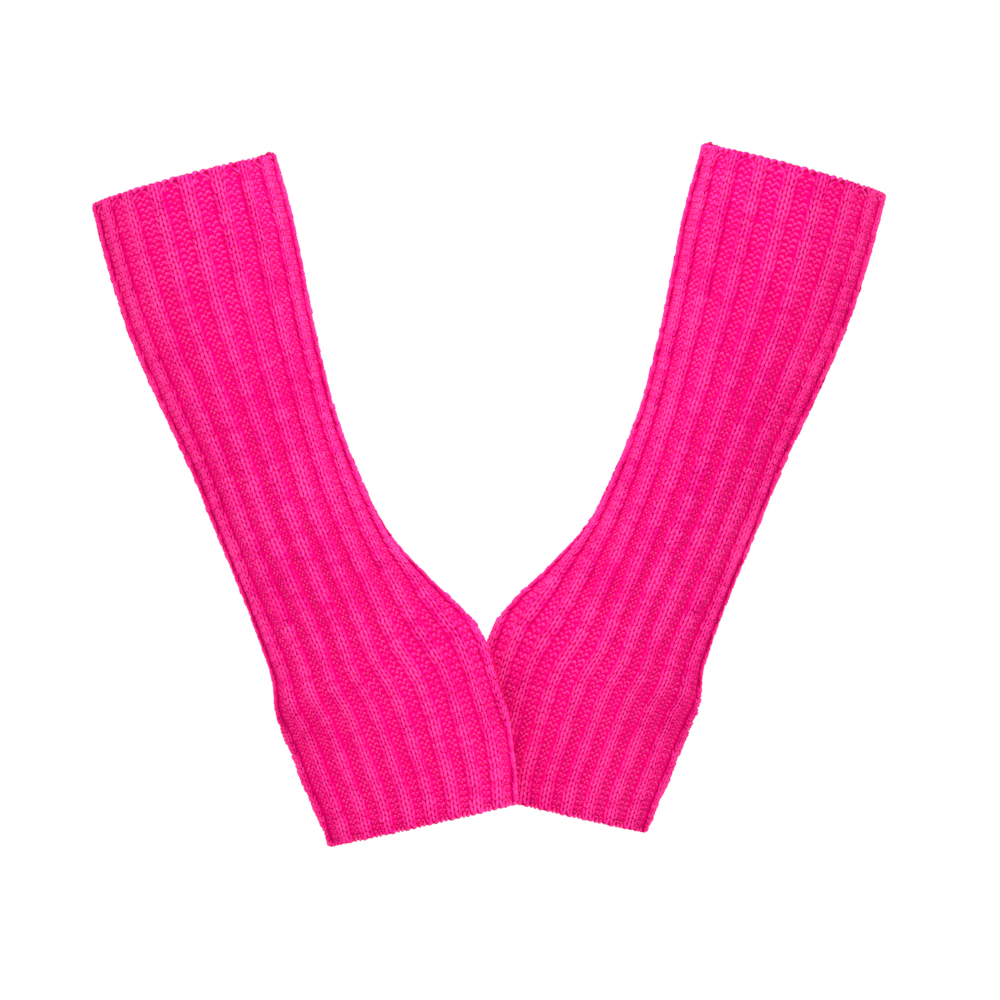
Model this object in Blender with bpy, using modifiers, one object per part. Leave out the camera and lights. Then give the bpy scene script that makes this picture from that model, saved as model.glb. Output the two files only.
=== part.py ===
# A pair of rib-knitted arm warmers, held open in their worn shape, one hand end in front of the other.
# Each warmer is one flat-knitted panel rolled into a tube. Its two long edges are sewn together along
# the thumb side, above and below a slit for the thumb.
# X runs across the pair, Y away from the front and Z up. The origin is the middle of the front
# warmer's wrist. Sizes below are in millimetres, and MM turns them into metres.

import math
from collections import namedtuple

import bmesh
import bpy

MM = 0.001

# The knitted wall: plain inside, with ribs raised on its outer side
RIB_COUNT = 18
WALL = 3.0  # through a rib
VALLEY_SHARE = 0.55  # thickness between two ribs, as a share of WALL
RIDGE_TOP = 4.6  # width of a rib across its top
RIDGE_FOOT = 7.0  # width of a rib where it leaves the valley
RIM = 2.6  # the cast-on edge and the bound-off edge: a low band at each end
RIM_SHARE = 0.6  # how far that band rises in a valley, as a share of a rib
RIM_WAVE = 0.5  # the ribs reach this far past the valleys at both ends
RIM_PEAK = 3.0  # the arm end rises by this much at the seam
PEAK_REACH = 22.0  # and comes back down over this distance on each side of it

# The side seam and the thumb slit
SEAM_WIDTH = 3.0
SEAM_TUCK = 1.0  # the sewn edges turn in by this much inside the tube
PARTED = 0.3  # between the seam and the panel's edges
SLIT_TOP = 236.0
SLIT_END = 272.0
SLIT_WIDTH = 20.0
SLIT_REACH = 42.0  # the open slit crowds the ribs this far on each side of it
GATHER_START = 0.2  # share of the way across the panel at which the gather starts

# How the two warmers lie: the rear one is the front one's mirror image, a little higher and further back
MIRROR_X = 87.7  # the middle of the pair
REAR_RISE = 4.4
REAR_BACK = 18.0
LEAN = 20.0  # each tube's hand end stands this far forward, or back, of its arm end

# A row for each section down a tube, from the arm end to the hand end:
# along    distance down the tube's middle line
# x, z     the middle of the section
# tilt     slope of the section, higher on the thumb side, in degrees
# width    from the little-finger side to the thumb side, over the ribs
# depth    from front to back, over the ribs
# square   how full the thumb side is: 2 is an ellipse, and more is squarer
# lag      how far the seam lies behind the thumb side's edge
# gather   how far the ribs on the far side of the seam are drawn round towards the front
Section = namedtuple("Section", "along x z tilt width depth square lag gather")
SECTIONS = [
    Section(0.0, -47.0, 144.6, 15.2, 85.6, 82.0, 2.0, 16.0, 0.0),
    Section(30.5, -39.2, 115.3, 14.6, 86.0, 79.0, 2.0, 15.5, 0.0),
    Section(61.0, -31.4, 85.9, 16.4, 82.4, 73.0, 2.0, 15.0, -0.5),
    Section(92.0, -21.9, 56.8, 19.8, 75.8, 66.0, 2.0, 14.0, -1.0),
    Section(122.0, -11.4, 28.3, 21.9, 70.2, 59.0, 2.0, 12.5, -2.0),
    Section(152.0, 0.0, 0.0, 22.9, 69.2, 54.0, 2.1, 10.5, -3.0),
    Section(183.0, 12.8, -28.0, 27.5, 71.5, 49.0, 2.2, 9.0, -3.5),
    Section(214.0, 28.1, -54.4, 31.0, 83.6, 45.0, 2.5, 4.5, 2.0),
    Section(229.0, 35.4, -67.6, 29.0, 95.0, 44.0, 2.8, 2.0, 6.5),
    Section(244.0, 43.4, -80.7, 22.5, 101.0, 43.0, 3.0, 1.5, 9.0),
    Section(260.0, 48.7, -95.2, 16.5, 99.9, 41.0, 3.0, 2.0, 8.0),
    Section(275.0, 52.0, -110.2, 16.0, 95.0, 38.0, 2.7, 4.0, 5.0),
    Section(290.0, 56.1, -124.8, 15.5, 90.3, 36.0, 2.4, 5.0, 2.5),
    Section(305.0, 59.1, -139.4, 13.0, 85.6, 34.0, 2.2, 5.0, 1.0),
]
LENGTH = SECTIONS[-1].along
WRIST = 152.0
HALF_SEAM = SEAM_WIDTH / 2 + PARTED  # from the middle of the seam to the panel's edge

# Rings of points down the panel, closer together where it bends more
FOREARM_STEP = 25.0
WRIST_START, WRIST_STEP, WRIST_STEPS = 165.0, 15.0, 4
SLIT_STEPS = 5
PALM_RING = 287.0
OUTLINE_STEPS = 240

YARN_PINK = (0.96, 0.012, 0.24, 1.0)
YARN_ROUGHNESS = 0.85


def clear_scene():
    for old in list(bpy.data.objects):
        bpy.data.objects.remove(old, do_unlink=True)


def section_at(along):
    """The section at any distance down the tube, on a smooth curve through the rows."""
    rows = SECTIONS
    i = max(k for k in range(len(rows) - 1) if rows[k].along <= along or k == 0)
    span = rows[i + 1].along - rows[i].along
    t = (along - rows[i].along) / span

    def slope(k, field):
        low, high = max(k - 1, 0), min(k + 1, len(rows) - 1)
        rise = getattr(rows[high], field) - getattr(rows[low], field)
        return rise / (rows[high].along - rows[low].along)

    values = []
    for field in Section._fields:
        start, end = getattr(rows[i], field), getattr(rows[i + 1], field)
        values.append(
            start * (2 * t**3 - 3 * t**2 + 1)
            + end * (3 * t**2 - 2 * t**3)
            + slope(i, field) * span * (t**3 - 2 * t**2 + t)
            + slope(i + 1, field) * span * (t**3 - t**2)
        )
    return Section(*values)


def outline_of(section, inset):
    """Points round a section as (distance round, across, depth), from the thumb side by way of the front."""
    half_width = section.width / 2 - inset
    half_depth = section.depth / 2 - inset
    points = []
    distance = 0.0
    for k in range(OUTLINE_STEPS + 1):
        angle = -2 * math.pi * k / OUTLINE_STEPS
        power = 2 / (section.square if math.cos(angle) > 0 else 2.0)
        across = math.copysign(abs(math.cos(angle)) ** power, math.cos(angle)) * half_width
        depth = math.copysign(abs(math.sin(angle)) ** power, math.sin(angle)) * half_depth
        if points:
            distance += math.dist(points[-1][1:], (across, depth))
        points.append((distance, across, depth))
    return points


def point_round(outline, distance, inward=0.0):
    """Where a distance round the outline falls, as (across, depth), moved in towards the hollow."""
    distance %= outline[-1][0]
    k = next(k for k in range(1, len(outline)) if outline[k][0] >= distance)
    before, after = outline[k - 1], outline[k]
    length = after[0] - before[0]
    share = (distance - before[0]) / length
    along_x, along_y = (after[1] - before[1]) / length, (after[2] - before[2]) / length
    return (
        before[1] + share * length * along_x + inward * along_y,
        before[2] + share * length * along_y - inward * along_x,
    )


def slit_opening(along):
    """How far the open slit pushes each long edge away from where the seam would hold it."""
    share = (along - SLIT_TOP) / (SLIT_END - SLIT_TOP)
    if not 0 < share < 1:
        return 0.0
    return (SLIT_WIDTH / 2 - HALF_SEAM) * math.sin(math.pi * share) ** 0.7


def crowded(distance, length, opening):
    """A distance across the panel, pushed away from the slit at either edge, less and less towards the ribs."""
    near = max(0.0, 1 - distance / SLIT_REACH)
    far = max(0.0, 1 - (length - distance) / SLIT_REACH)
    return distance + opening * (near**2 - far**2)


def gathered(distance, length, gather):
    """How far the ribs are drawn back towards the panel's first edge, most of all on the far side."""
    share = max(0.0, (distance / length - GATHER_START) / (1 - GATHER_START))
    return gather * math.sin(math.pi * share) ** 2


def to_world(along, across, depth, rear):
    """A point of a section, in metres, in the place of the front or the rear warmer."""
    section = section_at(along)
    tilt = math.radians(section.tilt)
    lean = LEAN * (along - WRIST) / LENGTH
    x = section.x + across * math.cos(tilt)
    z = section.z + across * math.sin(tilt)
    if rear:
        return ((2 * MIRROR_X - x) * MM, (REAR_BACK + lean + depth) * MM, (z + REAR_RISE) * MM)
    return (x * MM, (depth - lean) * MM, z * MM)


def panel_rings():
    """Distances down the tube at which the panel has a ring of points."""
    forearm = [FOREARM_STEP * k for k in range(1, int(WRIST / FOREARM_STEP) + 1)]
    wrist = [WRIST_START + WRIST_STEP * k for k in range(WRIST_STEPS + 1)]
    slit = [SLIT_TOP + (SLIT_END - SLIT_TOP) * k / SLIT_STEPS for k in range(SLIT_STEPS + 1)]
    return [0.0, RIM] + forearm + wrist + slit + [PALM_RING, LENGTH - RIM, LENGTH]


def panel_columns(length):
    """Places across the panel as (distance from its front edge, rib height from 0 to 1)."""
    outer = length + 2 * math.pi * WALL
    pitch = length / RIB_COUNT
    foot, top = (width / 2 * length / outer for width in (RIDGE_FOOT, RIDGE_TOP))
    columns = [(0.0, 0.0)]
    for k in range(RIB_COUNT):
        middle = (k + 0.5) * pitch
        columns += [(middle - foot, 0.0), (middle - top, 1.0), (middle + top, 1.0), (middle + foot, 0.0)]
    return columns + [(length, 0.0)]


def yarn_material(name):
    material = bpy.data.materials.new(name)
    material.use_nodes = True
    shader = material.node_tree.nodes["Principled BSDF"]
    shader.inputs["Base Color"].default_value = YARN_PINK
    shader.inputs["Roughness"].default_value = YARN_ROUGHNESS
    shader.inputs["Metallic"].default_value = 0.0
    return material


def rolled_cloth(name, rings, columns_at, place, wall, valley_share, rear, collection):
    """A flat grid, rolled into its place ring by ring, then given its wall on the outer side."""
    column_count = len(columns_at(rings[0]))
    mesh = bpy.data.meshes.new(name)
    grid = bmesh.new()
    bmesh.ops.create_grid(grid, x_segments=column_count - 1, y_segments=len(rings) - 1, size=0.5)
    heights = {}
    table = [columns_at(along) for along in rings]
    grid.verts.index_update()
    for vertex in grid.verts:
        column = round((vertex.co.x + 0.5) * (column_count - 1))
        row = round((0.5 - vertex.co.y) * (len(rings) - 1))
        distance, height = table[row][column]
        heights[vertex.index] = height
        vertex.co = place(rings[row], distance, height)
    if not rear:
        bmesh.ops.reverse_faces(grid, faces=grid.faces)
    grid.to_mesh(mesh)
    grid.free()

    cloth = bpy.data.objects.new(name, mesh)
    collection.objects.link(cloth)
    group = cloth.vertex_groups.new(name="rib_height")
    for index, height in heights.items():
        group.add([index], height, "REPLACE")
    mesh.materials.append(yarn_material(name + "_yarn"))
    mesh.shade_smooth()

    solidify = cloth.modifiers.new("wall", "SOLIDIFY")
    solidify.thickness = wall * MM
    solidify.offset = 1.0
    solidify.vertex_group = group.name
    solidify.thickness_vertex_group = valley_share
    return cloth


def panel(name, rear, collection):
    """The knitted panel, from one side of the seam all round to the other."""
    outlines = {along: outline_of(section_at(along), WALL) for along in panel_rings()}
    least_height = {along: RIM_SHARE for along in (0.0, RIM, LENGTH - RIM, LENGTH)}
    wave = {0.0: RIM_WAVE, LENGTH: -RIM_WAVE}
    peak = {0.0: RIM_PEAK, RIM: RIM_PEAK}

    def length_at(along):
        return outlines[along][-1][0] - 2 * HALF_SEAM

    def columns_at(along):
        least = least_height.get(along, 0.0)
        return [(d, max(height, least)) for d, height in panel_columns(length_at(along))]

    def place(along, distance, height):
        section = section_at(along)
        pushed = crowded(distance, length_at(along), slit_opening(along))
        pushed -= gathered(distance, length_at(along), section.gather)
        across, depth = point_round(outlines[along], HALF_SEAM - section.lag + pushed)
        from_seam = min(distance, length_at(along) - distance)
        rise = peak.get(along, 0.0) * max(0.0, 1 - from_seam / PEAK_REACH) ** 2
        dip = wave.get(along, 0.0) if height < 1 else 0.0
        return to_world(along + dip - rise, across, depth, rear)

    return rolled_cloth(name, panel_rings(), columns_at, place, WALL, VALLEY_SHARE, rear, collection)


def seam(name, start, end, rear, collection):
    """The sewn edges between two distances down the tube, thicker than the panel's valleys on the inside."""
    rings = [start] + [along for along in panel_rings() if start < along < end] + [end]
    wall = WALL * VALLEY_SHARE + SEAM_TUCK

    def columns_at(along):
        return [(SEAM_WIDTH * k / 2, 1.0) for k in range(3)]

    def place(along, distance, height):
        section = section_at(along)
        from_side = distance - SEAM_WIDTH / 2 - section.lag
        across, depth = point_round(outline_of(section, WALL), from_side, SEAM_TUCK)
        rise = RIM_PEAK if along <= RIM else 0.0
        return to_world(along - rise, across, depth, rear)

    return rolled_cloth(name, rings, columns_at, place, wall, 1.0, rear, collection)


def build():
    clear_scene()
    warmers = bpy.data.collections.new("knitted_arm_warmers")
    bpy.context.scene.collection.children.link(warmers)
    for side, rear in (("front", False), ("rear", True)):
        panel(side + "_panel", rear, warmers)
        seam(side + "_arm_seam", RIM_WAVE, SLIT_TOP, rear, warmers)
        seam(side + "_hand_seam", SLIT_END, LENGTH - RIM_WAVE, rear, warmers)


build()
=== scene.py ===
import math

import bpy
import numpy as np
from mathutils import Matrix, Vector


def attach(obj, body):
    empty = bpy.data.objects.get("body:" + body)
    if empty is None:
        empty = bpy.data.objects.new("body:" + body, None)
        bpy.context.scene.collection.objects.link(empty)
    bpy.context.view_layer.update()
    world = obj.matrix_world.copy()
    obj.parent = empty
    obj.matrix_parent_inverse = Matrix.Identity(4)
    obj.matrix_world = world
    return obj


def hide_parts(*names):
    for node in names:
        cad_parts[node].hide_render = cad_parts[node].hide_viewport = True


# A pair of rib-knitted arm warmers, held open as worn. Each is a thin ribbed cloth with its yarn
# laid over it stitch by stitch. Sizes are in millimetres, and mm turns them into metres.

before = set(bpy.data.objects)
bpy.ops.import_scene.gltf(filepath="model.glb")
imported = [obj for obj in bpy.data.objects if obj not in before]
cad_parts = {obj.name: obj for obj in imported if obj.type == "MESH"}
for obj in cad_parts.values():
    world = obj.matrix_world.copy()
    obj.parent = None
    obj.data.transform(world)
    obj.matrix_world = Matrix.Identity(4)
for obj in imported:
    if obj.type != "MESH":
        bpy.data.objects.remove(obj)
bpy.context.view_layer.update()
mm = 0.001

# The worn shape of each tube. The row for each section down it runs from the arm end to the hand end:
# distance down the middle line, middle of the section, slope, width, depth, how full the side with the
# slit is, how far the seam lies behind that side's edge, and how far the ribs on the other side are drawn
# round towards the front.
tube = {
    "columns": ("along", "x", "z", "tilt", "width", "depth", "square", "lag", "gather"),
    "sections": np.array([
        (0.0, -47.0, 144.6, 15.2, 85.6, 82.0, 2.0, 16.0, 0.0),
        (30.5, -39.2, 115.3, 14.6, 86.0, 79.0, 2.0, 15.5, 0.0),
        (61.0, -31.4, 85.9, 16.4, 82.4, 73.0, 2.0, 15.0, -0.5),
        (92.0, -21.9, 56.8, 19.8, 75.8, 66.0, 2.0, 14.0, -1.0),
        (122.0, -11.4, 28.3, 21.9, 70.2, 59.0, 2.0, 12.5, -2.0),
        (152.0, 0.0, 0.0, 22.9, 69.2, 54.0, 2.1, 10.5, -3.0),
        (183.0, 12.8, -28.0, 27.5, 71.5, 49.0, 2.2, 9.0, -3.5),
        (214.0, 28.1, -54.4, 31.0, 83.6, 45.0, 2.5, 4.5, 2.0),
        (229.0, 35.4, -67.6, 29.0, 95.0, 44.0, 2.8, 2.0, 6.5),
        (244.0, 43.4, -80.7, 22.5, 101.0, 43.0, 3.0, 1.5, 9.0),
        (260.0, 48.7, -95.2, 16.5, 99.9, 41.0, 3.0, 2.0, 8.0),
        (275.0, 52.0, -110.2, 16.0, 95.0, 38.0, 2.7, 4.0, 5.0),
        (290.0, 56.1, -124.8, 15.5, 90.3, 36.0, 2.4, 5.0, 2.5),
        (305.0, 59.1, -139.4, 13.0, 85.6, 34.0, 2.2, 5.0, 1.0),
    ]),
    "length": 305.0,
    "wrist": 152.0,
    "wall": 3.0,  # through a rib
    "lean": 20.0,  # the hand end stands this far forward, or back, of the arm end
    "outlineSteps": 720,
    "gatherStart": 0.2,  # share of the way across the panel at which the gather starts
}
pair = {"mirrorX": 87.7, "rearRise": 4.4, "rearBack": 18.0}
ribKnit = {
    "ribs": 18,
    "knitWale": 3.4,  # width of one of a rib's two columns of stitches
    "courses": 116,
    "firstCourse": 2.4,
    "lastCourse": 302.6,
    "courseTaper": 0.05,  # the courses are this much wider apart at the arm end
    "peak": 3.0,  # the arm end rises by this much at the seam
    "peakReach": 22.0,
    "peakCap": 1.2,  # limit of the rise just past the seam's edges
    "rimWave": 0.5,  # the ribs reach this far past the valleys at both ends
}
# The open slit crowds the ribs as far as reach on each side of it. A lower curve opens it more squarely.
thumbSlit = {"top": 236.0, "end": 272.0, "width": 20.0, "reach": 42.0, "curve": 0.7}
sideSeam = {"width": 3.0, "parted": 0.3}
halfSeam = sideSeam["width"] / 2 + sideSeam["parted"]
allWales = 4 * ribKnit["ribs"]  # two purl and two knit wales a rib: purl, knit, knit, purl
probe = {"along": 0.5, "wales": 0.2}  # directions are measured over this far on each side of a point


def sectionAt(along):
    # The section at any distance down the tube, on a smooth curve through the rows
    rows = tube["sections"]
    start = int(np.clip(np.searchsorted(rows[:, 0], along, side="right") - 1, 0, len(rows) - 2))

    def slope(k):
        low, high = max(k - 1, 0), min(k + 1, len(rows) - 1)
        return (rows[high] - rows[low]) / (rows[high, 0] - rows[low, 0])

    span = rows[start + 1, 0] - rows[start, 0]
    t = (along - rows[start, 0]) / span
    values = (
        rows[start] * (2 * t**3 - 3 * t**2 + 1)
        + rows[start + 1] * (3 * t**2 - 2 * t**3)
        + slope(start) * span * (t**3 - 2 * t**2 + t)
        + slope(start + 1) * span * (t**3 - t**2)
    )
    return dict(zip(tube["columns"], values))


def outlineOf(section, inset):
    # Distance round a section with its points across and in depth, from the slit's side by way of the front
    angle = -2 * np.pi * np.linspace(0, 1, tube["outlineSteps"] + 1)
    cosine, sine = np.cos(angle), np.sin(angle)
    power = 2 / np.where(cosine > 0, section["square"], 2.0)
    across = np.sign(cosine) * np.abs(cosine) ** power * (section["width"] / 2 - inset)
    depth = np.sign(sine) * np.abs(sine) ** power * (section["depth"] / 2 - inset)
    steps = np.hypot(np.diff(across), np.diff(depth))
    return np.concatenate([[0.0], np.cumsum(steps)]), across, depth


def slitOpening(along):
    # How far the open slit pushes each long edge of the panel away
    share = (along - thumbSlit["top"]) / (thumbSlit["end"] - thumbSlit["top"])
    if not 0 < share < 1:
        return 0.0
    return (thumbSlit["width"] / 2 - halfSeam) * math.sin(math.pi * share) ** thumbSlit["curve"]


def acrossPanel(wale, width):
    # Distance across the panel: knit wales keep their width, and purl wales share what is left
    pitch = width / ribKnit["ribs"]
    knit = ribKnit["knitWale"] * width / (width + 2 * math.pi * tube["wall"])
    purl = pitch / 2 - knit
    within = np.interp(wale % 4, [0, 1, 3, 4], [0, purl, purl + 2 * knit, pitch])
    return np.floor(wale / 4) * pitch + within


def plainRow(side, along, wale):
    # Points on the plain inner sheet of one warmer, in a row across it
    section = sectionAt(along)
    distance, across, depth = outlineOf(section, tube["wall"])
    width = distance[-1] - 2 * halfSeam
    place = acrossPanel(wale, width)
    near = np.maximum(0, 1 - place / thumbSlit["reach"])
    far = np.maximum(0, 1 - (width - place) / thumbSlit["reach"])
    pushed = place + slitOpening(along) * (near**2 - far**2)
    gathered = np.maximum(0, (place / width - tube["gatherStart"]) / (1 - tube["gatherStart"]))
    pushed = pushed - section["gather"] * np.sin(math.pi * gathered) ** 2
    turned = (halfSeam - section["lag"] + pushed) % distance[-1]
    u, v = np.interp(turned, distance, across), np.interp(turned, distance, depth)
    tilt = math.radians(section["tilt"])
    lean = tube["lean"] * (along - tube["wrist"]) / tube["length"]
    x, z = section["x"] + u * math.cos(tilt), section["z"] + u * math.sin(tilt)
    if side == "rear":
        return np.stack([2 * pair["mirrorX"] - x, pair["rearBack"] + lean + v, z + pair["rearRise"]], axis=1)
    return np.stack([x, v - lean, z], axis=1)


def innerRow(side, along, wale):
    # The same, with the arm end drawn up beside the seam
    row = plainRow(side, along, wale)
    fade = 1 - max(0.0, along) / ribKnit["peakReach"]
    if fade <= 0:
        return row
    distance = outlineOf(sectionAt(along), tube["wall"])[0][-1] - 2 * halfSeam
    place = acrossPanel(wale, distance)
    fromSeam = np.minimum(place, distance - place)
    rise = ribKnit["peak"] * fade * np.clip(1 - fromSeam / ribKnit["peakReach"], 0, ribKnit["peakCap"]) ** 2
    upward = plainRow(side, along - probe["along"], wale) - plainRow(side, along + probe["along"], wale)
    return row + rise[:, None] * upward


def unit(vectors):
    return vectors / np.linalg.norm(vectors, axis=1, keepdims=True)


def clothRow(side, along, wale, lift=0.0):
    # A row of points raised from the inner sheet, with the directions up the arm and out of the cloth
    wale = np.asarray(wale, float)
    across = innerRow(side, along, wale + probe["wales"]) - innerRow(side, along, wale - probe["wales"])
    up = unit(innerRow(side, along - probe["along"], wale) - innerRow(side, along + probe["along"], wale))
    out = unit(np.cross(up, across) if side == "front" else np.cross(across, up))
    return innerRow(side, along, wale) + out * np.reshape(lift, (-1, 1)), up, out


def courseAlong(course):
    # Distance down the tube of each course of stitches
    share = course / (ribKnit["courses"] - 1)
    eased = share + ribKnit["courseTaper"] * share * (1 - share)
    return ribKnit["firstCourse"] + (ribKnit["lastCourse"] - ribKnit["firstCourse"]) * eased


# Materials

def mathNode(tree, operation, first, second=None):
    node = tree.nodes.new("ShaderNodeMath")
    node.operation = operation
    for socket, value in zip(node.inputs, (first, second)):
        if isinstance(value, (int, float)):
            socket.default_value = value
        elif value is not None:
            tree.links.new(value, socket)
    return node.outputs[0]


def noiseNode(tree, vector, settings):
    noise = tree.nodes.new("ShaderNodeTexNoise")
    for label, value in zip(("Scale", "Detail", "Roughness"), settings):
        noise.inputs[label].default_value = value
    tree.links.new(vector, noise.inputs["Vector"])
    return noise.outputs["Fac"]


def bumpNode(tree, distance, height, below=None):
    # Relief from a height, laid over the relief below it
    bump = tree.nodes.new("ShaderNodeBump")
    bump.inputs["Distance"].default_value = distance
    tree.links.new(height, bump.inputs["Height"])
    if below is not None:
        tree.links.new(below, bump.inputs["Normal"])
    return bump.outputs[0]


def attributeNode(tree, name):
    node = tree.nodes.new("ShaderNodeAttribute")
    node.attribute_name = name
    return node.outputs["Fac"]


def ownMap(tree):
    # The two directions of a piece's own map
    places = tree.nodes.new("ShaderNodeUVMap")
    places.uv_map = "UVMap"
    split = tree.nodes.new("ShaderNodeSeparateXYZ")
    tree.links.new(places.outputs[0], split.inputs[0])
    return split.outputs[0], split.outputs[1]


yarnLook = {
    "deep": (0.47, 0.0, 0.060, 1.0),
    "main": (0.77, 0.0, 0.18, 1.0),
    "pale": (0.96, 0.045, 0.28, 1.0),
    "shadesAt": (0.2, 0.5, 0.8),  # where deep, main and pale lie on the scale of shade
    "roughness": 0.8,
    "gloss": 0.06,
    "glossTint": (1.0, 0.2, 0.6, 1.0),
    "sheen": 0.05,
    "sheenRoughness": 0.5,
    "sheenTint": (1.0, 0.35, 0.75, 1.0),
    "plyTurns": 1.1,  # turns of the yarn's plies in each millimetre
    "plyDepth": 0.00012,
    "fibreDepth": 0.00005,
    "fibreNoise": (5200.0, 2.0, 0.65),  # scale, detail and roughness
    "patchNoise": (26.0, 3.0, 0.5),
    "fluffNoise": (750.0, 2.0, 0.5),
    "patchShare": 0.35,
    "toneShare": 0.15,  # how far one stitch differs from the next
    # painted shade: how much darker the grooves between the plies are painted than their tops
    "plyGrooveShadeShare": 0.12,
    "paintedCrestLightShare": 0.55,  # painted light: how much paler the top of a strand is than its sunken ends, a painted highlight on top and painted shade at the ends
    "fluffShare": 0.42,  # paler and darker flecks along the yarn
}
groundLook = {
    "rowDepth": 0.0005,  # relief of the rows of purl bumps
    "rowSway": 0.25,  # how far a row rises and falls from wale to wale, as a share of a course
    "paintedRowShadeShare": 0.6,  # how much of the colour follows the rows, as painted shade between them, and the rest follows the patches
}


def softMaterial(name):
    # Matt yarn with a faint sheen, before its colour and its relief
    material = bpy.data.materials.new(name)
    material.use_nodes = True
    shader = material.node_tree.nodes["Principled BSDF"]
    shader.inputs["Roughness"].default_value = yarnLook["roughness"]
    shader.inputs["Specular IOR Level"].default_value = yarnLook["gloss"]
    shader.inputs["Specular Tint"].default_value = yarnLook["glossTint"]
    shader.inputs["Sheen Weight"].default_value = yarnLook["sheen"]
    shader.inputs["Sheen Roughness"].default_value = yarnLook["sheenRoughness"]
    shader.inputs["Sheen Tint"].default_value = yarnLook["sheenTint"]
    return material, material.node_tree, shader


def yarnMaterial(name, toneShift=0.0):
    # Soft plied yarn: slanting plies on the strand's own map, fine fibres, and shade that differs stitch by
    # stitch. Its colour also holds painted light: a painted highlight on the top of each strand, with
    # painted shade at its sunken ends and in the grooves between the plies
    material, tree, shader = softMaterial(name)
    place = tree.nodes.new("ShaderNodeTexCoord").outputs["Object"]
    alongStrand, roundStrand = ownMap(tree)
    turns = mathNode(tree, "MULTIPLY", alongStrand, yarnLook["plyTurns"])
    turns = mathNode(tree, "ADD", turns, roundStrand)
    ply = mathNode(tree, "ABSOLUTE", mathNode(tree, "SINE", mathNode(tree, "MULTIPLY", turns, 2 * math.pi)))
    shares = {
        "patchShare": noiseNode(tree, place, yarnLook["patchNoise"]),
        "toneShare": attributeNode(tree, "tone"),
        # painted shade in the grooves between the plies
        "plyGrooveShadeShare": ply,
        # painted highlight on the top of the strand and painted shade at its sunken ends
        "paintedCrestLightShare": attributeNode(tree, "crown"),
        "fluffShare": noiseNode(tree, place, yarnLook["fluffNoise"]),
    }
    shade = toneShift + 0.5 - sum(yarnLook[label] for label in shares) / 2  # the mean shade is in the middle
    for label, value in shares.items():
        shade = mathNode(tree, "ADD", mathNode(tree, "MULTIPLY", value, yarnLook[label]), shade)
    ramp = tree.nodes.new("ShaderNodeValToRGB")
    stops = ramp.color_ramp.elements
    deepAt, mainAt, paleAt = yarnLook["shadesAt"]
    stops[0].position, stops[0].color = deepAt, yarnLook["deep"]
    stops[1].position, stops[1].color = paleAt, yarnLook["pale"]
    stops.new(mainAt).color = yarnLook["main"]
    tree.links.new(shade, ramp.inputs[0])
    tree.links.new(ramp.outputs[0], shader.inputs["Base Color"])
    relief = bumpNode(tree, yarnLook["plyDepth"], ply)
    fibre = noiseNode(tree, place, yarnLook["fibreNoise"])
    tree.links.new(bumpNode(tree, yarnLook["fibreDepth"], fibre, relief), shader.inputs["Normal"])
    return material


def clothMaterial(name):
    # The knitted ground that shows between the strands and inside the tube, with rows of purl bumps in
    # relief. Its colour runs from deep to main, darker than the strands, as painted shade in the gaps
    # between them, and is painted darker between its rows
    material, tree, shader = softMaterial(name)
    place = tree.nodes.new("ShaderNodeTexCoord").outputs["Object"]
    across, down = ownMap(tree)
    wave = mathNode(tree, "COSINE", mathNode(tree, "MULTIPLY", across, 2 * math.pi * allWales))
    sway = mathNode(tree, "MULTIPLY", wave, groundLook["rowSway"])
    course = mathNode(tree, "ADD", mathNode(tree, "MULTIPLY", down, ribKnit["courses"]), sway)
    row = mathNode(tree, "SINE", mathNode(tree, "MULTIPLY", course, 2 * math.pi))
    height = mathNode(tree, "ADD", mathNode(tree, "MULTIPLY", row, 0.5), 0.5)
    patch = noiseNode(tree, place, yarnLook["patchNoise"])
    paintedRowShade = mathNode(tree, "MULTIPLY", height, groundLook["paintedRowShadeShare"])
    patchShade = mathNode(tree, "MULTIPLY", patch, 1 - groundLook["paintedRowShadeShare"])
    colour = tree.nodes.new("ShaderNodeMix")
    colour.data_type = "RGBA"
    tree.links.new(mathNode(tree, "ADD", paintedRowShade, patchShade), colour.inputs[0])
    # painted shade: the ground runs from the deep to the main colour, darker than the yarn, for the shade
    # between the strands
    colour.inputs[6].default_value = yarnLook["deep"]
    colour.inputs[7].default_value = yarnLook["main"]
    tree.links.new(colour.outputs[2], shader.inputs["Base Color"])
    relief = bumpNode(tree, groundLook["rowDepth"], height)
    fibre = noiseNode(tree, place, yarnLook["fibreNoise"])
    tree.links.new(bumpNode(tree, yarnLook["fibreDepth"], fibre, relief), shader.inputs["Normal"])
    return material


panelYarn = yarnMaterial("panelYarn", toneShift=-0.04)
# the same yarn, painted paler in the valleys as a highlight on the purl stitches
valleyYarn = yarnMaterial("valleyYarn", toneShift=0.05)
seamYarn = yarnMaterial("seamYarn", toneShift=-0.05)
knitGround = clothMaterial("knitGround")
print("materials made")


# Ground cloth: a thin ribbed shell on the form of the solid panel

ground = {
    "rows": 56,
    "waleSteps": (0.0, 0.4, 0.8, 1.0, 1.25, 1.6, 2.0, 2.4, 2.75, 3.0, 3.2, 3.6),  # points across one rib
    "profileWale": (0.0, 0.7, 1.0, 1.35, 2.0, 2.65, 3.0, 3.3, 4.0),
    "profileLift": (0.9, 0.95, 1.3, 1.9, 2.08, 1.9, 1.3, 0.95, 0.9),  # height over the plain inner sheet
    "thickness": 0.6,
    "inset": 0.8,  # the cloth stops this far short of both ends
    "edgeTuck": 0.5,  # the long edges turn in by this much
    "tuckWales": 0.5,
}


def meshObject(name, points, faces, material):
    mesh = bpy.data.meshes.new(name)
    mesh.from_pydata([tuple(point) for point in points], [], faces)
    mesh.materials.append(material)
    made = bpy.data.objects.new(name, mesh)
    bpy.context.scene.collection.objects.link(made)
    return made


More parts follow.
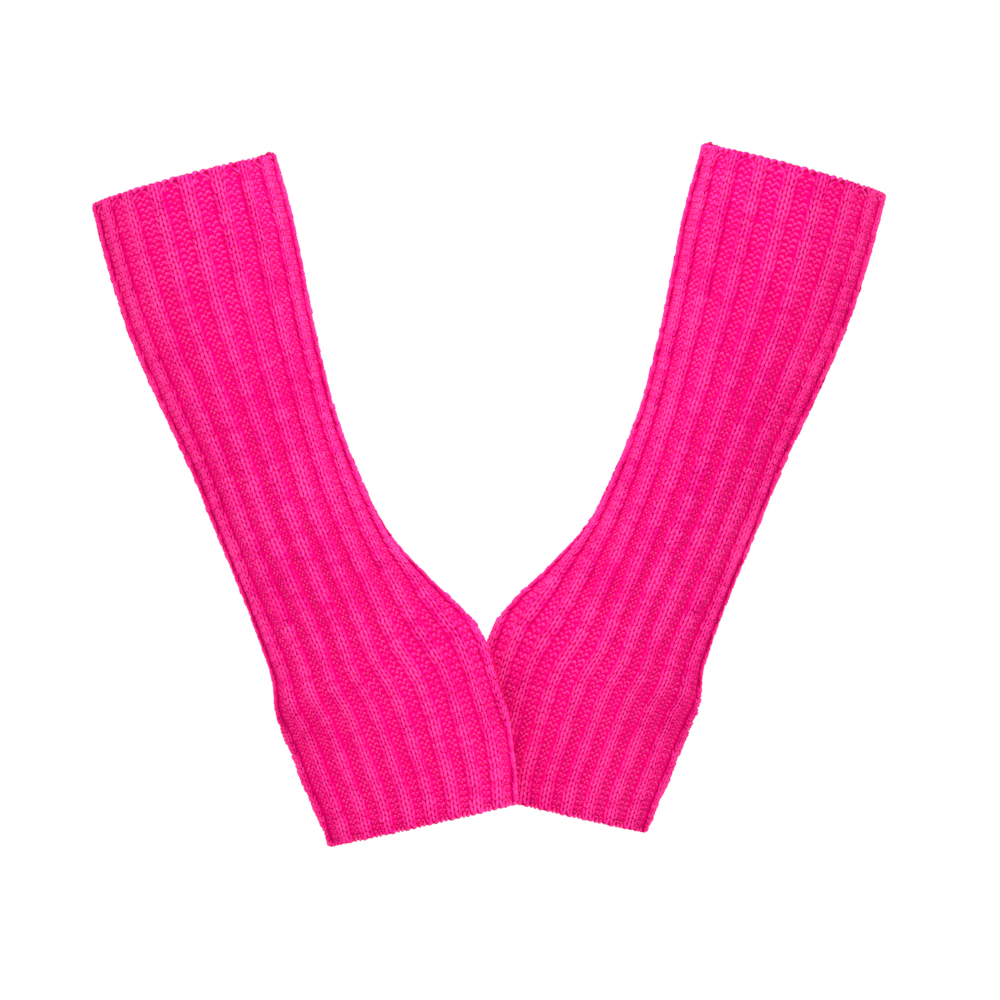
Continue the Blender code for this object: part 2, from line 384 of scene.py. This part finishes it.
def gridShell(name, rows, mapping, thickness, flip, material):
    # A grid of points given a wall on its inner side. mapping holds each point's place on the cloth's map.
    rowCount, columnCount = rows.shape[:2]
    faces, corners = [], []
    for i in range(rowCount - 1):
        for j in range(columnCount - 1):
            face = [i * columnCount + j, i * columnCount + j + 1,
                    (i + 1) * columnCount + j + 1, (i + 1) * columnCount + j]
            face = face[::-1] if flip else face
            faces.append(face)
            corners.extend(face)
    made = meshObject(name, rows.reshape(-1, 3) * mm, faces, material)
    layer = made.data.uv_layers.new(name="UVMap")
    layer.data.foreach_set("uv", mapping.reshape(-1, 2)[corners].astype(np.float32).ravel())
    made.data.shade_smooth()
    wall = made.modifiers.new("wall", "SOLIDIFY")
    wall.thickness = thickness * mm
    wall.offset = -1.0
    return made


def makeGround(side):
    wales = np.array([4 * rib + step for rib in range(ribKnit["ribs"]) for step in ground["waleSteps"]]
                     + [allWales])
    lift = np.interp(wales % 4, ground["profileWale"], ground["profileLift"])
    fromEdge = np.minimum(wales, allWales - wales)
    lift = lift - ground["edgeTuck"] * np.clip(1 - fromEdge / ground["tuckWales"], 0, 1)
    alongs = np.linspace(ground["inset"], tube["length"] - ground["inset"], ground["rows"])
    rows = np.array([clothRow(side, along, wales, lift)[0] for along in alongs])
    mapping = np.array([[(wale / allWales, along / tube["length"]) for wale in wales] for along in alongs])
    return gridShell(side + "Ground", rows, mapping, ground["thickness"], side == "rear", knitGround)


# Strands of yarn, as closed tubes that narrow to a point at both ends

def strandMesh(name, strands, sides, material):
    # Each strand is (points, radii) in millimetres. The first and last points are its tips.
    points, faces, uvs = [], [], []
    for path, radii in strands:
        path = np.array(path, float)
        tangents = unit(np.gradient(path, axis=0))
        sideways = unit(np.cross(tangents, (0, 0, 1)))
        upward = np.cross(tangents, sideways)
        measure = np.concatenate([[0], np.cumsum(np.linalg.norm(np.diff(path, axis=0), axis=1))])
        first = len(points)
        points.append(path[0])
        for k in range(1, len(path) - 1):
            for j in range(sides):
                angle = 2 * math.pi * j / sides
                around = math.cos(angle) * sideways[k] + math.sin(angle) * upward[k]
                points.append(path[k] + radii[k] * around)
        points.append(path[-1])
        last = len(points) - 1
        for j in range(sides):
            after = (j + 1) % sides
            faces.append((first, first + 1 + after, first + 1 + j))
            uvs += [(measure[0], (j + 0.5) / sides), (measure[1], (j + 1) / sides), (measure[1], j / sides)]
            for k in range(len(path) - 3):
                ring, above = first + 1 + k * sides, first + 1 + (k + 1) * sides
                faces.append((ring + j, ring + after, above + after, above + j))
                uvs += [(measure[k + 1], j / sides), (measure[k + 1], (j + 1) / sides),
                        (measure[k + 2], (j + 1) / sides), (measure[k + 2], j / sides)]
            ring = last - sides
            faces.append((ring + j, ring + after, last))
            uvs += [(measure[-2], j / sides), (measure[-2], (j + 1) / sides),
                    (measure[-1], (j + 0.5) / sides)]
    made = meshObject(name, np.array(points) * mm, faces, material)
    layer = made.data.uv_layers.new(name="UVMap")
    layer.data.foreach_set("uv", np.array(uvs, np.float32).ravel())
    height = np.array(points)[:, 2]
    # Each point's height on the strand, which the yarn's colour uses to paint a highlight on the top and
    # shade at the sunken ends
    crown = made.data.attributes.new("crown", "FLOAT", "POINT")
    crown.data.foreach_set("value", ((height - height.min()) / np.ptp(height)).astype(np.float32))
    made.data.shade_smooth()
    return made


def tapered(path, radius):
    # One strand for strandMesh, with a tip at each end
    return path, [0] + [radius] * (len(path) - 2) + [0]


ribStitch = {
    "width": 5.4,  # of the two stitches side by side
    "course": 2.6,
    "foot": 0.24,  # half the gap between the two legs where they meet
    "head": 1.05,  # and where they part
    "reach": 2.05,  # half the length of a leg
    "belly": 0.45,  # how far along it is full
    "radius": 0.52,
    "dive": 0.8,  # how far the ends of a leg sink into the cloth
    "crown": 0.11,  # how quickly the rib rounds away at its sides
    "sides": 5,
    "lift": 2.5,
}


def makeRibStitch():
    # One course of a rib: two stitches side by side, each with two slanting legs
    shape = ribStitch
    strands = []
    for middle in (-shape["width"] / 4, shape["width"] / 4):
        for hand in (-1, 1):
            path = []
            for share in (-1, -shape["belly"], shape["belly"], 1):
                spread = shape["foot"] + (shape["head"] - shape["foot"]) * (share + 1) / 2
                x = middle + hand * spread
                z = -shape["dive"] * abs(share) ** 3 - shape["crown"] * x**2
                path.append((x, shape["reach"] * share, z))
            strands.append(tapered(path, shape["radius"]))
    return strandMesh("ribStitch", strands, shape["sides"], panelYarn)


valleyStitch = {
    "width": 5.6,
    "course": 2.6,
    "stitches": 2,  # purl stitches that it arches over
    "swing": -0.75,  # height of the wave that the yarn makes across the valley
    "bulge": 0.6,  # how far it stands out over each of them
    "overlap": 0.7,  # the ends run this far under the ribs
    "tuckStart": 0.5,  # and start to sink this far short of the valley's edge
    "tuckSlope": 1.1,
    "radius": 0.52,
    "points": 13,
    "sides": 4,
    "lift": 0.85,
}
edgeStitch = {**valleyStitch, "width": 2.8, "stitches": 1, "swing": 0.75, "points": 8}


def makePurlStitch(name, shape):
    # A strand across a valley: it arches over each purl stitch and dips between them
    half = shape["width"] / 2
    path = []
    for x in np.linspace(-half - shape["overlap"], half + shape["overlap"], shape["points"]):
        phase = shape["stitches"] * math.pi * x / half
        sunk = shape["tuckSlope"] * max(0.0, abs(x) - half + shape["tuckStart"])
        path.append((x, shape["swing"] * math.cos(phase), shape["bulge"] * math.cos(2 * phase) - sunk))
    return strandMesh(name, [tapered(path, shape["radius"])], shape["sides"], valleyYarn)


# The ends of the tube: a strand that arches over each valley at the arm end, and a loop over the rim at
# each wale of both ends

arch = {
    "width": 5.6,
    "course": 2.6,
    "overlap": 0.5,
    "height": 2.9,
    "rise": 1.0,  # its feet stand this much higher, on the flanks of the ribs
    "steepness": 2.4,  # how suddenly its sides fall
    "pinch": 0.12,  # how much the feet draw in
    "radius": 0.58,
    "points": 13,
    "sides": 5,
    "lift": 0.95,
    "fromRim": 2.3,
}
rimLoop = {
    "width": 2.7,
    "course": 2.6,
    "radius": 0.8,
    "bend": 0.6,  # radius of the bend over the rim
    "bendPoints": 7,
    "leg": 1.7,
    "legDrop": 0.8,  # how far out the legs end, as a share of the bend
    "slant": 1.5,
    "sides": 6,
    "lift": 0.95,
    "fromRim": 1.2,
}


def makeArch():
    shape = arch
    half = shape["width"] / 2 + shape["overlap"]
    path = []
    for share in np.linspace(-1, 1, shape["points"]):
        steep = abs(share) ** shape["steepness"]
        x = half * share * (1 - shape["pinch"] * share**2)
        path.append((x, -shape["height"] * steep, shape["rise"] * steep))
    return strandMesh("archStitch", [tapered(path, shape["radius"])], shape["sides"], panelYarn)


def makeRimLoop():
    # Up the outside of the cloth, over the rim and down the inside
    shape = rimLoop
    drop = shape["legDrop"] * shape["bend"]
    path = [(-shape["slant"] / 2, -shape["leg"], drop)]
    for share in np.linspace(0, 1, shape["bendPoints"]):
        upward, outward = math.sin(math.pi * share), math.cos(math.pi * share)
        path.append((shape["slant"] * (share - 0.5), shape["bend"] * upward, shape["bend"] * outward))
    path.append((shape["slant"] / 2, -shape["leg"], -drop))
    return strandMesh("rimLoop", [tapered(path, shape["radius"])], shape["sides"], panelYarn)


# Geometry Nodes that lay a strand on every point of a chart of stitches

def newTree(name, inputs):
    # A tree with geometry in and out and the named inputs
    tree = bpy.data.node_groups.new(name, "GeometryNodeTree")
    tree.interface.new_socket("Geometry", in_out="OUTPUT", socket_type="NodeSocketGeometry")
    tree.interface.new_socket("Geometry", in_out="INPUT", socket_type="NodeSocketGeometry")
    for label, kind in inputs.items():
        tree.interface.new_socket(label, in_out="INPUT", socket_type="NodeSocket" + kind)
    return tree, tree.nodes.new("NodeGroupInput").outputs, tree.nodes.new("NodeGroupOutput").inputs


def scaledVector(tree, vector, amount):
    node = tree.nodes.new("ShaderNodeVectorMath")
    node.operation = "SCALE"
    tree.links.new(vector, node.inputs[0])
    tree.links.new(amount, node.inputs["Scale"])
    return node.outputs[0]


def dyeAndFinish(tree, geometry, given, result):
    # The last node: the yarn's material on everything
    dyed = tree.nodes.new("GeometryNodeSetMaterial")
    tree.links.new(geometry, dyed.inputs["Geometry"])
    tree.links.new(given["Yarn"], dyed.inputs["Material"])
    tree.links.new(dyed.outputs[0], result[0])


def stitchTree(name):
    tree, given, result = newTree(name, {
        "Stitch": "Object",
        "Yarn": "Material",
        "Shift Spread": "Float",
        "Turn Spread": "Float",
        "Size Spread": "Float",
        "Seed": "Int",
    })
    nodes, links = tree.nodes, tree.links

    def randomValue(kind, seedShift):
        source = nodes.new("FunctionNodeRandomValue")
        source.data_type = kind
        links.new(mathNode(tree, "ADD", given["Seed"], seedShift), source.inputs["Seed"])
        return source

    def spread(kind, label, seedShift):
        # A random value from minus to plus the named input
        source = randomValue(kind, seedShift)
        first = 0 if kind == "FLOAT_VECTOR" else 2
        links.new(mathNode(tree, "MULTIPLY", given[label], -1.0), source.inputs[first])
        links.new(given[label], source.inputs[first + 1])
        return source.outputs[first // 2]

    def storedVector(name):
        node = nodes.new("GeometryNodeInputNamedAttribute")
        node.data_type = "FLOAT_VECTOR"
        node.inputs["Name"].default_value = name
        return node.outputs["Attribute"]

    def rotation(angles):
        node = nodes.new("FunctionNodeEulerToRotation")
        links.new(angles, node.inputs[0])
        return node.outputs[0]

    shift = nodes.new("GeometryNodeSetPosition")
    links.new(given["Geometry"], shift.inputs["Geometry"])
    links.new(spread("FLOAT_VECTOR", "Shift Spread", 1), shift.inputs["Offset"])
    turned = nodes.new("FunctionNodeRotateRotation")
    turned.rotation_space = "LOCAL"
    links.new(rotation(storedVector("turn")), turned.inputs[0])
    links.new(rotation(spread("FLOAT_VECTOR", "Turn Spread", 2)), turned.inputs[1])
    grown = mathNode(tree, "ADD", spread("FLOAT", "Size Spread", 3), 1.0)

    strand = nodes.new("GeometryNodeObjectInfo")
    links.new(given["Stitch"], strand.inputs["Object"])
    laid = nodes.new("GeometryNodeInstanceOnPoints")
    links.new(shift.outputs[0], laid.inputs["Points"])
    links.new(strand.outputs["Geometry"], laid.inputs["Instance"])
    links.new(turned.outputs[0], laid.inputs["Rotation"])
    links.new(scaledVector(tree, storedVector("size"), grown), laid.inputs["Scale"])
    shade = nodes.new("GeometryNodeStoreNamedAttribute")
    shade.data_type = "FLOAT"
    shade.domain = "INSTANCE"
    shade.inputs["Name"].default_value = "tone"
    links.new(laid.outputs[0], shade.inputs["Geometry"])
    links.new(randomValue("FLOAT", 4).outputs[1], shade.inputs["Value"])
    real = nodes.new("GeometryNodeRealizeInstances")
    links.new(shade.outputs[0], real.inputs[0])
    dyeAndFinish(tree, real.outputs[0], given, result)
    return tree


def setInputs(modifier, values):
    for item in modifier.node_group.interface.items_tree:
        if item.item_type == "SOCKET" and item.in_out == "INPUT" and item.name in values:
            modifier[item.identifier] = values[item.name]


def plainMesh(made, name):
    # The evaluated mesh in a new object, with no modifier on it
    bpy.context.view_layer.update()
    mesh = bpy.data.meshes.new_from_object(made.evaluated_get(bpy.context.evaluated_depsgraph_get()))
    mesh.name = name
    bpy.data.objects.remove(made)
    result = bpy.data.objects.new(name, mesh)
    bpy.context.scene.collection.objects.link(result)
    return result


class Chart:
    # Places for stitches: where each one lies, how it is turned and how it is stretched
    def __init__(self):
        self.points, self.turns, self.sizes = [], [], []

    def addRow(self, side, along, wales, shape, spanWales, spacing, down=False):
        # A row of stitches, each stretched to the wales that it spans and to the course's own height.
        # Those laid down point to the hand end.
        wales = np.asarray(wales, float)
        point, up, out = clothRow(side, along, wales, shape["lift"])
        left = clothRow(side, along, wales - spanWales / 2, shape["lift"])[0]
        right = clothRow(side, along, wales + spanWales / 2, shape["lift"])[0]
        step = 2 * probe["along"]
        reach = innerRow(side, along - step, wales) - innerRow(side, along + step, wales)
        stretch = np.linalg.norm(reach, axis=1) / (2 * step)
        wide = np.linalg.norm(right - left, axis=1) / shape["width"]
        tall = stretch * spacing / shape["course"]
        up = -up if down else up
        for k in range(len(wales)):
            sideways = np.cross(up[k], out[k])
            basis = Matrix((sideways, up[k], out[k])).transposed()
            self.points.append(point[k] * mm)
            self.turns.append(tuple(basis.to_euler()))
            self.sizes.append((wide[k], tall[k], 1.0))

    def knit(self, name, tree, stitch, material, spreads):
        mesh = bpy.data.meshes.new(name)
        mesh.from_pydata([tuple(point) for point in self.points], [], [])
        for label, values in (("turn", self.turns), ("size", self.sizes)):
            data = mesh.attributes.new(label, "FLOAT_VECTOR", "POINT").data
            data.foreach_set("vector", np.array(values, np.float32).ravel())
        made = bpy.data.objects.new(name + "Chart", mesh)
        bpy.context.scene.collection.objects.link(made)
        modifier = made.modifiers.new("stitches", "NODES")
        modifier.node_group = tree
        setInputs(modifier, {"Stitch": stitch, "Yarn": material, **spreads})
        return plainMesh(made, name)


# How unevenly the stitches lie: metres, radians and a share of their size
slack = {"Shift Spread": 0.00014, "Turn Spread": 0.11, "Size Spread": 0.08, "Seed": 11}


def knitWarmer(side, tree, stitches):
    # Every stitch that shows on one warmer
    charts = {name: Chart() for name in stitches}
    count = ribKnit["courses"]
    valleys = 4 * np.arange(1, ribKnit["ribs"])
    everyWale = np.arange(0.5, allWales)
    charts["Arches"].addRow(side, arch["fromRim"], valleys, arch, 2, arch["course"])
    for along, down in ((rimLoop["fromRim"], False), (tube["length"] - rimLoop["fromRim"], True)):
        charts["RimLoops"].addRow(side, along, everyWale, rimLoop, 1, rimLoop["course"], down)
    for course in range(count):
        along = courseAlong(course)
        spacing = courseAlong(course + 0.5) - courseAlong(course - 0.5)
        charts["Ribs"].addRow(side, along, 4 * np.arange(ribKnit["ribs"]) + 2, ribStitch, 2, spacing)
        half = "ValleysUpper" if course < count / 2 else "ValleysLower"
        if course > 0:  # the arches take the place of the first course
            charts[half].addRow(side, along, valleys, valleyStitch, 2, spacing)
        charts["Edges"].addRow(side, along, [0.5, allWales - 0.5], edgeStitch, 1, spacing)
    made = []
    for label, chart in charts.items():
        stitch, material = stitches[label]
        made.append(chart.knit(side + label, tree, stitch, material, slack))
    print(side, "warmer knitted")
    return made


stitching = stitchTree("stitching")
ribModel = makeRibStitch()
valleyModel = makePurlStitch("valleyStitch", valleyStitch)
edgeModel = makePurlStitch("edgeStitch", edgeStitch)
archModel, loopModel = makeArch(), makeRimLoop()
stitches = {
    "Ribs": (ribModel, panelYarn),
    "ValleysUpper": (valleyModel, valleyYarn),
    "ValleysLower": (valleyModel, valleyYarn),
    "Edges": (edgeModel, valleyYarn),
    "Arches": (archModel, panelYarn),
    "RimLoops": (loopModel, panelYarn),
}
groundCloth = {side: makeGround(side) for side in ("front", "rear")}
knitted = {side: knitWarmer(side, stitching, stitches) for side in ("front", "rear")}


# Cords of two plies that follow a path: the cast-on and bound-off edges and the rim of the slit

def cordTree(name):
    tree, given, result = newTree(name, {
        "Ply Radius": "Float",
        "Twist Radius": "Float",
        "Step": "Float",
        "Turns": "Int",
        "Sides": "Int",
        "Yarn": "Material",
    })
    nodes, links = tree.nodes, tree.links
    path = nodes.new("GeometryNodeResampleCurve")
    path.mode = "LENGTH"
    links.new(given["Geometry"], path.inputs["Curve"])
    links.new(given["Step"], path.inputs["Length"])
    factor = nodes.new("GeometryNodeSplineParameter").outputs["Factor"]
    normal = nodes.new("GeometryNodeInputNormal").outputs[0]
    across = nodes.new("ShaderNodeVectorMath")
    across.operation = "CROSS_PRODUCT"
    links.new(nodes.new("GeometryNodeInputTangent").outputs[0], across.inputs[0])
    links.new(normal, across.inputs[1])
    profile = nodes.new("GeometryNodeCurvePrimitiveCircle")
    links.new(given["Sides"], profile.inputs["Resolution"])
    links.new(given["Ply Radius"], profile.inputs["Radius"])
    turned = mathNode(tree, "MULTIPLY", mathNode(tree, "MULTIPLY", factor, given["Turns"]), 2 * math.pi)
    joined = nodes.new("GeometryNodeJoinGeometry")
    for phase in (0.0, math.pi):
        # Each ply winds round the path, half a turn from the other
        angle = mathNode(tree, "ADD", turned, phase)
        outward = mathNode(tree, "MULTIPLY", mathNode(tree, "COSINE", angle), given["Twist Radius"])
        sideways = mathNode(tree, "MULTIPLY", mathNode(tree, "SINE", angle), given["Twist Radius"])
        offset = nodes.new("ShaderNodeVectorMath")
        offset.operation = "ADD"
        links.new(scaledVector(tree, normal, outward), offset.inputs[0])
        links.new(scaledVector(tree, across.outputs[0], sideways), offset.inputs[1])
        moved = nodes.new("GeometryNodeSetPosition")
        links.new(path.outputs[0], moved.inputs["Geometry"])
        links.new(offset.outputs[0], moved.inputs["Offset"])
        swept = nodes.new("GeometryNodeCurveToMesh")
        links.new(moved.outputs[0], swept.inputs["Curve"])
        links.new(profile.outputs[0], swept.inputs["Profile Curve"])
        links.new(swept.outputs[0], joined.inputs[0])
    real = nodes.new("GeometryNodeRealizeInstances")
    links.new(joined.outputs[0], real.inputs[0])
    smooth = nodes.new("GeometryNodeSetShadeSmooth")
    links.new(real.outputs[0], smooth.inputs["Geometry"])
    dyeAndFinish(tree, smooth.outputs[0], given, result)
    return tree


plyTwist = {"plyRadius": 0.5, "twistRadius": 0.34, "step": 0.8, "sides": 6, "lift": 0.9}
rimCord = {**plyTwist, "turnLength": 4.2, "inset": 0.9, "waleStep": 0.25, "rounding": 0.35}
slitCord = {**plyTwist, "turnLength": 4.0, "past": 1.0, "points": 40, "fromEdge": 0.05}


def cordAlong(name, points, shape, tree, material):
    # points make a closed path in millimetres
    curve = bpy.data.curves.new(name, "CURVE")
    curve.dimensions = "3D"
    spline = curve.splines.new("POLY")
    spline.points.add(len(points) - 1)
    spline.points.foreach_set("co", np.column_stack([points * mm, np.ones(len(points))]).ravel())
    spline.use_cyclic_u = True
    made = bpy.data.objects.new(name + "Path", curve)
    bpy.context.scene.collection.objects.link(made)
    length = np.linalg.norm(points - np.roll(points, 1, axis=0), axis=1).sum()
    modifier = made.modifiers.new("cord", "NODES")
    modifier.node_group = tree
    setInputs(modifier, {
        "Ply Radius": shape["plyRadius"] * mm,
        "Twist Radius": shape["twistRadius"] * mm,
        "Step": shape["step"] * mm,
        "Turns": round(length / shape["turnLength"]),
        "Sides": shape["sides"],
        "Yarn": material,
    })
    return plainMesh(made, name)


def rimPath(side, along, outward):
    # The closed edge round one end of a tube. The ribs reach a little past the valleys.
    wales = np.arange(0, allWales + 0.01, rimCord["waleStep"])
    point, up, out = clothRow(side, along, wales, rimCord["lift"])
    wave = np.cos(2 * np.pi * wales / 4)
    reach = ribKnit["rimWave"] * (0.5 + 0.5 * wave)
    rounding = rimCord["rounding"] * (0.5 - 0.5 * wave)
    return point + up * (-outward * reach)[:, None] + out * rounding[:, None]


def slitPath(side):
    # Down one edge of the slit and back up the other
    start, end = thumbSlit["top"] - slitCord["past"], thumbSlit["end"] + slitCord["past"]
    edges = []
    for wale in (slitCord["fromEdge"], allWales - slitCord["fromEdge"]):
        alongs = np.linspace(start, end, slitCord["points"])
        edges.append([clothRow(side, along, [wale], slitCord["lift"])[0][0] for along in alongs])
    down, back = edges
    return np.array(down + back[::-1])


cording = cordTree("cording")
trims = {}
for side in ("front", "rear"):
    castOn = rimPath(side, rimCord["inset"], 1)
    boundOff = rimPath(side, tube["length"] - rimCord["inset"], -1)
    trims[side] = [
        cordAlong(side + "CastOn", castOn, rimCord, cording, panelYarn),
        cordAlong(side + "BoundOff", boundOff, rimCord, cording, panelYarn),
        cordAlong(side + "SlitRim", slitPath(side), slitCord, cording, panelYarn),
    ]
print("edges finished")


# The side seam: both long edges turned in, with a stitch across them at every course

seamShape = {
    "thickness": 1.2,
    "groove": 1.1,  # how far its middle sinks
    "grooveCurve": 1.5,
    "lift": 0.75,
    "overlap": 0.25,  # it runs this far under the panel's edges, as a share of its half width
    "steps": 7,
    "rowLength": 5.0,
    "fewestRows": 6,
}
seamBar = {
    "width": 3.2,
    "radius": 0.5,
    "points": 5,
    "sides": 5,
    "lift": 0.9,
    "slant": 0.5,
    "bow": 0.35,
    "inset": 1.5,  # the sewing stops this far short of both ends
}


def makeSeamBar():
    shape = seamBar
    path = []
    for share in np.linspace(-1, 1, shape["points"]):
        path.append((share * shape["width"] / 2, shape["slant"] * share, shape["bow"] * (1 - 2 * share**2)))
    return strandMesh("seamBar", [tapered(path, shape["radius"])], shape["sides"], seamYarn)


def seamRow(side, along, spread, lift):
    # A row across the seam, with the directions up it and out of it. spread runs from -1 at the panel's last
    # edge to 1 at its first.
    first, upFirst, outFirst = clothRow(side, along, [0.0], 0.0)
    last, upLast, outLast = clothRow(side, along, [float(allWales)], 0.0)
    share = (np.asarray(spread) + 1)[:, None] / 2
    up, out = unit(upFirst + upLast), unit(outFirst + outLast)
    return last + (first - last) * share + out * np.reshape(lift, (-1, 1)), up[0], out[0]


def makeSeam(side, name, start, end):
    rows = max(seamShape["fewestRows"], int((end - start) / seamShape["rowLength"]))
    spread = np.linspace(-1 - seamShape["overlap"], 1 + seamShape["overlap"], seamShape["steps"])
    depth = (1 - np.minimum(1, np.abs(spread))) ** seamShape["grooveCurve"]
    lift = seamShape["lift"] - seamShape["groove"] * depth
    alongs = np.linspace(start, end, rows)
    grid = np.array([seamRow(side, along, spread, lift)[0] for along in alongs])
    mapping = np.array([[(0.5 / allWales * s, along / tube["length"]) for s in spread] for along in alongs])
    return gridShell(side + name, grid, mapping, seamShape["thickness"], side == "front", knitGround)


def sewSeam(side, name, start, end, bar, tree):
    chart = Chart()
    for course in range(ribKnit["courses"]):
        along = courseAlong(course)
        if not start < along < end:
            continue
        point, up, out = seamRow(side, along, [0.0], seamBar["lift"])
        chart.points.append(point[0] * mm)
        chart.turns.append(tuple(Matrix((np.cross(up, out), up, out)).transposed().to_euler()))
        chart.sizes.append((1.0, 1.0, 1.0))
    return chart.knit(side + name, tree, bar, seamYarn, slack)


barModel = makeSeamBar()
top, end = thumbSlit["top"], thumbSlit["end"]
clothEnd, sewingEnd = tube["length"] - ground["inset"], tube["length"] - seamBar["inset"]
seams = {}
for side in ("front", "rear"):
    seams[side] = {
        "arm": [makeSeam(side, "ArmSeam", ground["inset"], top),
                sewSeam(side, "ArmSewing", seamBar["inset"], top, barModel, stitching)],
        "hand": [makeSeam(side, "HandSeam", end, clothEnd),
                 sewSeam(side, "HandSewing", end, sewingEnd, barModel, stitching)],
    }
for model in (ribModel, valleyModel, edgeModel, archModel, loopModel, barModel):
    bpy.data.objects.remove(model)
print("seams sewn")


# What each piece belongs to

pieces = {}
for side in ("front", "rear"):
    cloth = groundCloth[side]
    onPanel = knitted[side] + trims[side]
    onSeam = seams[side]["arm"] + seams[side]["hand"]
    pieces[side] = [cloth] + onPanel + onSeam
    for piece in [cloth] + onPanel:
        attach(piece, "root")
    for piece in onSeam:
        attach(piece, "root")
    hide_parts(side + "_panel")
    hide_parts(side + "_arm_seam")
    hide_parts(side + "_hand_seam")


# Floor, light and camera

studio = {
    "viewMiddle": (0.0926, 0.0032),
    "viewWidth": 0.44,
    "viewDistance": 3.0,
    "floorMiddle": 0.0876,
    "floorLevel": -0.42,
    "floorRadius": 1.3,
    "floorSides": 64,
    "floorGrey": 0.9,
    "world": 1.0,  # how bright the backdrop looks
    "ambient": 1.25,  # and how much it lights
}
# Each warmer has its own key light and soft light. Those of the rear one come from the mirrored side.
lamps = {
    "Key": {"direction": (1.0, -0.75, 0.9), "distance": 1.3, "size": 0.5, "power": 14.0},
    "Soft": {"direction": (-1.0, -0.75, 0.2), "distance": 1.6, "size": 1.0, "power": 3.0},
}
fillLamp = {"direction": (0.0, -1.0, 0.25), "distance": 1.8, "size": 1.2, "power": 17.0}


def makeFloor():
    points = []
    for k in range(studio["floorSides"]):
        angle = 2 * math.pi * k / studio["floorSides"]
        x = studio["floorMiddle"] + studio["floorRadius"] * math.cos(angle)
        points.append((x, studio["floorRadius"] * math.sin(angle), studio["floorLevel"]))
    material = bpy.data.materials.new("paleFloor")
    material.use_nodes = True
    shader = material.node_tree.nodes["Principled BSDF"]
    shader.inputs["Base Color"].default_value = (*[studio["floorGrey"]] * 3, 1)
    shader.inputs["Roughness"].default_value = 0.9
    floor = meshObject("floor", points, [tuple(range(len(points)))], material)


def makeWorld():
    world = bpy.data.worlds.new("studio")
    bpy.context.scene.world = world
    world.use_nodes = True
    tree = world.node_tree
    background = tree.nodes["Background"]
    background.inputs["Color"].default_value = (1, 1, 1, 1)
    seen = tree.nodes.new("ShaderNodeLightPath").outputs["Is Camera Ray"]
    strength = mathNode(tree, "MULTIPLY", seen, studio["world"] - studio["ambient"])
    tree.links.new(mathNode(tree, "ADD", strength, studio["ambient"]), background.inputs["Strength"])


def areaLight(name, lamp, mirror=1, lit=None):
    # A soft light that points at the middle of the pair. lit is the collection that it lights and that casts
    # its shadows, if not everything.
    light = bpy.data.lights.new(name, "AREA")
    light.size = lamp["size"]
    light.energy = lamp["power"]
    placed = bpy.data.objects.new(name, light)
    bpy.context.scene.collection.objects.link(placed)
    x, y, z = lamp["direction"]
    toward = Vector((mirror * x, y, z)).normalized()
    placed.location = Vector((pair["mirrorX"] * mm, 0, 0)) + toward * lamp["distance"]
    placed.rotation_euler = (-toward).to_track_quat("-Z", "Y").to_euler()
    if lit:
        placed.light_linking.receiver_collection = lit
        placed.light_linking.blocker_collection = lit


def makeCamera():
    camera = bpy.data.cameras.new("photoView")
    camera.sensor_width = 36.0
    camera.lens = camera.sensor_width * studio["viewDistance"] / studio["viewWidth"]
    camera.clip_end = 100.0
    view = bpy.data.objects.new("photoView", camera)
    bpy.context.scene.collection.objects.link(view)
    x, z = studio["viewMiddle"]
    view.location = (x, -studio["viewDistance"], z)
    view.rotation_euler = (math.pi / 2, 0, 0)
    bpy.context.scene.camera = view


makeFloor()
makeWorld()
for side, mirror in (("front", 1), ("rear", -1)):
    lit = bpy.data.collections.new(side + "Warmer")
    for piece in pieces[side]:
        lit.objects.link(piece)
    for label, lamp in lamps.items():
        areaLight(side + label, lamp, mirror, lit)
areaLight("frontFill", fillLamp)
makeCamera()
bpy.context.scene.view_settings.view_transform = "Standard"
print("studio set")

bpy.context.view_layer.update()
